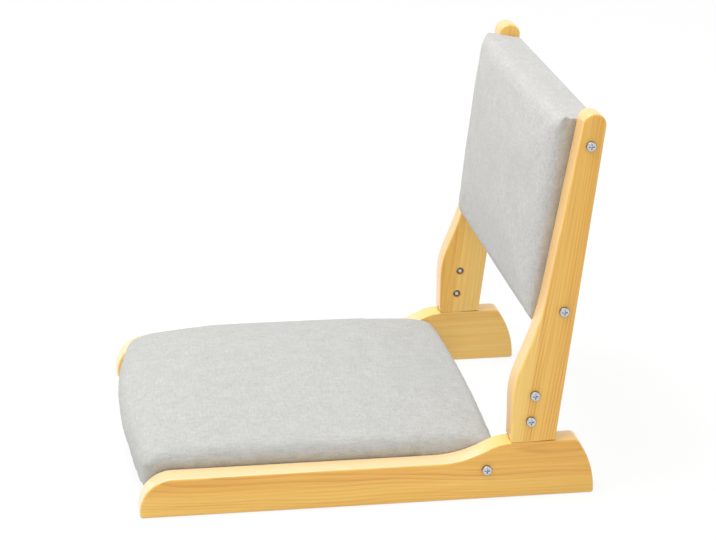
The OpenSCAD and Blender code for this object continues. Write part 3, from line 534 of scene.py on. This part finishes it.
def stuffed(ob, gain):
    """Blows the remeshed form up like a filled cover, with the sides and underside held.

    Each point keeps the gain share of its move, at most SWELL_CAP.
    """
    rest = coords(ob.data)
    z = rest[:, 2] / MM
    hold = 1 - np.clip((z - HELD_BELOW) / 16.0, 0, 1)
    group = ob.vertex_groups.new(name="held")
    for i, w in enumerate(hold):
        if w > 0.01:
            group.add([i], float(w), "REPLACE")
    mod = ob.modifiers.new("cloth", "CLOTH")
    st = mod.settings
    st.quality = 6
    st.mass = 0.3
    st.tension_stiffness = 12
    st.compression_stiffness = 12
    st.shear_stiffness = 5
    st.bending_stiffness = 0.6
    st.use_pressure = True
    st.uniform_pressure_force = 4.0
    st.vertex_group_mass = "held"
    st.pin_stiffness = 1.0
    st.effector_weights.gravity = 0.0
    mod.collision_settings.use_collision = False
    mod.collision_settings.use_self_collision = False
    sc = bpy.context.scene
    for f in range(1, 21):
        sc.frame_set(f)
    apply_modifiers(ob)
    sc.frame_set(1)
    now = coords(ob.data)
    move = now - rest
    size = np.linalg.norm(move, axis=1)
    keep = np.minimum(1, SWELL_CAP * MM / np.maximum(size, 1e-9))
    set_coords(ob.data, rest + move * (gain * keep)[:, None])


def snapped(co, a, b, wrap, bows, corner_r):
    """Brings the walls below 17 mm and the underside back to the frame's own outline.

    Higher up, only points that stand outside that outline come back to it.
    """
    co = co.copy()
    z = co[:, 2]
    f = np.clip((z + 8.4) / 23.4, 0, 1)
    share = BOW_LOW + BOW_RISE * np.minimum(1, f * 1.6)
    bowed = share * (1 - np.minimum(1, (co[:, 0] / a) ** 2)) / b
    y = co[:, 1] + wrap / 2
    stretch = 1 + bowed * np.where(y < 0, bows[0], bows[1])
    p = np.stack([co[:, 0], y / stretch], 1)
    q = abs(p) - np.array([a - corner_r, b - corner_r])
    out = np.maximum(q, 0)
    length = np.linalg.norm(out, axis=1)
    d = length + np.minimum(np.maximum(q[:, 0], q[:, 1]), 0) - corner_r
    grad = np.where((length > 1e-6)[:, None], out / np.maximum(length, 1e-6)[:, None],
                    np.stack([q[:, 0] >= q[:, 1], q[:, 0] < q[:, 1]], 1).astype(float))
    near = np.clip((17.0 - z) / 4, 0, 1) * (d > -6)
    p = p + np.sign(p) * grad * (np.where(d > 0, -d, -d * near))[:, None]
    co[:, 0] = p[:, 0]
    co[:, 1] = p[:, 1] * stretch - wrap / 2
    co[:, 2] = np.where(z < -8.5, PAD_UNDERSIDE, z)
    return co


def overhang(co, wood_z):
    """Lets the filled part of the cover swell sideways over the wood, which ends at wood_z.

    Gives the moved points and, for each, how far it is over the wood, from 0 to 1.
    """
    z = co[:, 2]
    over = np.clip((z - wood_z) / 4, 0, 1)
    side = np.clip((abs(co[:, 0]) - 150) / 35, 0, 1)
    out = np.sign(co[:, 0]) * SWELL * over * over * (3 - 2 * over) * side
    return co + np.stack([out, 0 * z, 0 * z], 1), over


def finer_near(ob, points, reach):
    """Splits the mesh finer round the points, for folds smaller than the cushion's own cells."""
    bm = bmesh.new()
    bm.from_mesh(ob.data)
    spots = [Vector(p) * MM for p in points]
    near = {v for v in bm.verts if any((v.co - p).length < reach * MM for p in spots)}
    edges = [e for e in bm.edges if e.verts[0] in near and e.verts[1] in near]
    bmesh.ops.subdivide_edges(bm, edges=edges, cuts=2, use_grid_fill=True)
    bm.to_mesh(ob.data)
    bm.free()


def tucked(co, points, depth, radius):
    """Presses a small pocket in at each point, where the corner of the cover is folded under."""
    for p in points:
        p = np.array(p)
        away = np.linalg.norm((co - p) * np.array([1, 1, 0.8]), axis=1)
        inward = -np.sign(p) * np.array([0.75, 0.6, 0])
        co = co + inward * (depth * np.clip(1 - (away / radius) ** 2, 0, 1) ** 1.5)[:, None]
        below = np.linalg.norm(co - (p - np.array([0, 4.5, 4.5])), axis=1)
        co = co - inward * (0.5 * np.clip(1 - (below / 4.5) ** 2, 0, 1) ** 2)[:, None]
    return co


def squared(co, a, b, push):
    """Fills the corners of the cover out again, where its doubled cloth is folded and stapled."""
    away = np.hypot(a - abs(co[:, 0]), b - abs(co[:, 1]))
    height = np.clip(co[:, 2] / 6, 0, 1) * np.clip((36 - co[:, 2]) / 8, 0, 1)
    w = push * np.exp(-(away / 11.0) ** 2) * height
    return co + np.stack([np.sign(co[:, 0]) * w, np.sign(co[:, 1]) * w, 0 * w], 1)


def uneven(co, a, b, fuller, lifted, drawn, lowered):
    """A front edge stretched on by hand: fuller at the left corner, drawn in at the right."""
    front = np.clip((100 - co[:, 1] - b) / 100, 0, 1)
    left = np.clip((co[:, 0] - 20) / (a - 20), 0, 1) * front
    right = np.clip(-co[:, 0] / a, 0, 1) * front
    up = np.clip(co[:, 2] / 35, 0, 1)
    rise = (lifted * left - lowered * right) * up
    return co + np.stack([0 * left, drawn * right - fuller * left, rise], 1)


def gathered(co, normals, a, b, wrap, seed):
    """Gathers pulled down towards the hem, fading up into the shoulder, and a slightly wavy top."""
    z = co[:, 2]
    band = np.clip((34 - z) / 16, 0, 1) * np.clip((z + 8) / 12, 0, 1)
    edge = np.maximum(np.clip((abs(co[:, 0]) - (a - 26)) / 22, 0, 1),
                      np.clip((abs(co[:, 1] + wrap / 2) - (b - 26)) / 22, 0, 1))
    along = co * np.array([1, 1, 0.12])
    puck = smooth_noise(along, seed, 19.0) * 0.35 + smooth_noise(along, seed + 5, 9.0) * 0.16
    depth = np.minimum(0, puck - 0.35) * band * edge
    top = smooth_noise(co, seed + 9, 120.0) * 0.35 * np.clip((z - 30) / 6, 0, 1)
    return co + normals * (depth + top)[:, None]


def build_pad(name, place, frame_d, wrap, bows, shape, wood_z, seed, material, body, covers,
              pressed=None):
    """A cushion, from its form to what it is declared as.

    place takes the panel's own axes to the frame's. pressed is (anchor, share kept); when it is
    given, the cushion gets a mesh of its own.
    """
    a, b = PANEL_HALF_W, (frame_d + wrap) / 2 + COVER_OUT
    corner_r, tucks = shape["corner_r"], shape["tucks"]
    verts, faces = pad_form(a - 0.25, b - 0.6, PAD_UNDERSIDE, shape["edge_h"] - FIRST_CUT,
                            shape["shoulder_r"], PAD_ROLL, corner_r, shape["growth"],
                            CROWN_H - 0.6, bows, shape["drop"])
    verts = [(x, y - wrap / 2, z) for x, y, z in verts]
    ob = mesh_object(name, verts, faces)
    remesh = ob.modifiers.new("remesh", "REMESH")
    remesh.mode = "VOXEL"
    remesh.voxel_size = VOXEL
    remesh.use_smooth_shade = True
    apply_modifiers(ob)
    stuffed(ob, shape["gain"])
    if tucks:
        finer_near(ob, tucks, TUCK_FINE)
    co = coords(ob.data) / MM
    co = snapped(co, a, b, wrap, bows, corner_r)
    if shape["pull"]:
        co = uneven(co, a, b, *shape["pull"])
    else:
        co = squared(co, a, b, CORNER_FILL)
        co[:, 1] = np.clip(co[:, 1], -b - 2.0, b + 0.4)
    co, over = overhang(co, wood_z(co[:, 1]))
    set_coords(ob.data, co * MM)
    normals = np.zeros(len(ob.data.vertices) * 3)
    ob.data.vertices.foreach_get("normal", normals)
    co = gathered(co, normals.reshape(-1, 3), a, b, wrap, seed)
    wall = a - 0.1 + SWELL * over
    co[:, 0] = np.clip(co[:, 0], -wall, wall)
    if tucks:
        co = tucked(co, tucks, TUCK_DEPTH, TUCK_RADIUS)
    world = np.c_[co * MM, np.ones(len(co))] @ np.array(place).T
    set_coords(ob.data, world[:, :3])
    for poly in ob.data.polygons:
        poly.use_smooth = True
    sub = ob.modifiers.new("fine", "SUBSURF")
    sub.levels = sub.render_levels = 1
    ob.data.materials.clear()
    ob.data.materials.append(material)
    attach(ob, body)
    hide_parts(*covers)
    if pressed:
        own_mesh(ob)


SEAT_PLACE = Matrix.Translation((0, SEAT_MID_Y * MM, SEAT_MID_H * MM))
BACK_PLACE = (Matrix.Translation((0, BACK_MID[0] * MM, BACK_MID[1] * MM))
              @ Matrix.Rotation(-LEAN, 4, "X") @ Matrix.Rotation(QUARTER, 4, "X"))


def runner_top(y):
    """How high the runner stands beside the seat pad. Its block, from 60 mm on, tops the pad."""
    return np.where(y + SEAT_MID_Y < 60, 10.5, 99.0)


def upright_front(y):
    """How far the upright's front stands out beside the back pad, in the pad's own axes."""
    return 19.2 - 0.0546 * y


# edge_h is the height of the top's edge above the panel's middle plane. pull is what uneven takes.
SEAT_SHAPE = {"edge_h": 37.5, "shoulder_r": 22.0, "corner_r": 10.0, "growth": 1.5, "drop": 9.0,
              "gain": 1.0, "pull": (7.0, 3.0, 3.5, 6.0), "tucks": None}
BACK_SHAPE = {"edge_h": 38.0, "shoulder_r": 16.0, "corner_r": 4.0, "growth": 0.8, "drop": 1.0,
              "gain": 0.3, "pull": None, "tucks": TUCKS}
build_pad("seat_pad", SEAT_PLACE, SEAT_D, FOAM_WRAP, SEAT_BOWS, SEAT_SHAPE, runner_top, 11,
          CLOTH_SEAT, "base", ("seat_cover", "seat_foam"),
          pressed=((0, 0, (SEAT_MID_H + PAD_UNDERSIDE) * MM), 0.86))
build_pad("back_pad", BACK_PLACE, BACK_D, 0.0, (0.0, 0.0), BACK_SHAPE, upright_front, 29,
          CLOTH_BACK, "back", ("back_cover", "back_foam"))


# ---------------------------------------------------------------- studio
def studio():
    """Pale floor, even world light and one soft lamp. The camera sees floor and world as white."""
    sc = bpy.context.scene
    sc.view_settings.view_transform = "Standard"
    me = bpy.data.meshes.new("floor")
    half, z = 6.0, -0.0004  # metres, a hair under the runners
    corners = [(-half, -half, z), (half, -half, z), (half, half, z), (-half, half, z)]
    me.from_pydata(corners, [], [(0, 1, 2, 3)])
    floor = bpy.data.objects.new("floor", me)
    sc.collection.objects.link(floor)
    n = Nodes("floor_white")
    path = n.add("LightPath")
    mirrored = n.math("MAXIMUM", path.outputs["Is Glossy Ray"], path.outputs["Is Transmission Ray"])
    seen = n.math("MAXIMUM", path.outputs["Is Camera Ray"], mirrored)
    seen_share = 0.8  # the rest keeps the floor's shadow
    diff = n.add("BsdfDiffuse", Color=(0.76, 0.76, 0.75, 1))
    emit = n.add("Emission", Color=(1, 1, 1, 1), Strength=1.06)
    mixer = n.nt.nodes.new("ShaderNodeMixShader")
    n.nt.links.new(n.math("MULTIPLY", seen, seen_share), mixer.inputs[0])
    n.nt.links.new(diff.outputs[0], mixer.inputs[1])
    n.nt.links.new(emit.outputs[0], mixer.inputs[2])
    n.nt.links.new(mixer.outputs[0], n.out.inputs[0])
    me.materials.append(n.mat)

    world = bpy.data.worlds.new("studio")
    sc.world = world
    world.use_nodes = True
    nt = world.node_tree
    nt.nodes.clear()
    out = nt.nodes.new("ShaderNodeOutputWorld")
    bg = nt.nodes.new("ShaderNodeBackground")
    path = nt.nodes.new("ShaderNodeLightPath")
    near = nt.nodes.new("ShaderNodeMath")
    near.operation = "MAXIMUM"
    seen = nt.nodes.new("ShaderNodeMath")
    seen.operation = "MAXIMUM"
    strength = nt.nodes.new("ShaderNodeMath")
    strength.operation = "MULTIPLY_ADD"
    ambient = 0.70  # what lights the chair, while the background has a strength of 1
    nt.links.new(path.outputs["Is Camera Ray"], near.inputs[0])
    nt.links.new(path.outputs["Is Glossy Ray"], near.inputs[1])
    nt.links.new(near.outputs[0], seen.inputs[0])
    nt.links.new(path.outputs["Is Transmission Ray"], seen.inputs[1])
    nt.links.new(seen.outputs[0], strength.inputs[0])
    strength.inputs[1].default_value = 1 - ambient
    strength.inputs[2].default_value = ambient
    bg.inputs["Color"].default_value = (1, 1, 1, 1)
    nt.links.new(strength.outputs[0], bg.inputs["Strength"])
    nt.links.new(bg.outputs[0], out.inputs[0])

    def area(name, at, to, size, power):
        data = bpy.data.lights.new(name, "AREA")
        data.shape = "DISK"
        data.size = size
        data.energy = power
        ob = bpy.data.objects.new(name, data)
        sc.collection.objects.link(ob)
        ob.location = at
        ob.rotation_mode = "QUATERNION"
        ob.rotation_quaternion = (Vector(to) - Vector(at)).to_track_quat("-Z", "Y")

    area("key", (0.12, -0.85, 2.75), (0, 0, 0.1), 2.4, 65)


# The photograph's camera, solved from its perspective: pixels, degrees and metres
PHOTO_W, PHOTO_H = 716, 540
FOCAL_PX = 2401.58
CENTRE_X, CENTRE_Y = 358.4456, 270.98
AZIMUTH, ELEVATION, ROLL = 81.246, 18.680, 0.2457
CAMERA_AT = (2.51171, -0.36185, 1.04591)


def camera():
    az, el, roll = (math.radians(v) for v in (AZIMUTH, ELEVATION, ROLL))
    back = Vector((math.sin(az) * math.cos(el), -math.cos(az) * math.cos(el), math.sin(el)))
    right = (-back).cross(Vector((0, 0, 1))).normalized()
    up = right.cross(-back)
    r = math.cos(roll) * right + math.sin(roll) * up
    u = -math.sin(roll) * right + math.cos(roll) * up
    data = bpy.data.cameras.new("camera")
    data.sensor_width = 36
    data.lens = FOCAL_PX * data.sensor_width / PHOTO_W
    data.shift_x = (PHOTO_W / 2 - CENTRE_X) / PHOTO_W
    data.shift_y = (CENTRE_Y - PHOTO_H / 2) / PHOTO_W
    data.clip_start = 0.1
    data.clip_end = 60
    cam = bpy.data.objects.new("camera", data)
    bpy.context.scene.collection.objects.link(cam)
    rot = Matrix((r, u, back)).transposed().to_4x4()
    cam.matrix_world = Matrix.Translation(CAMERA_AT) @ rot
    bpy.context.scene.camera = cam


studio()
camera()
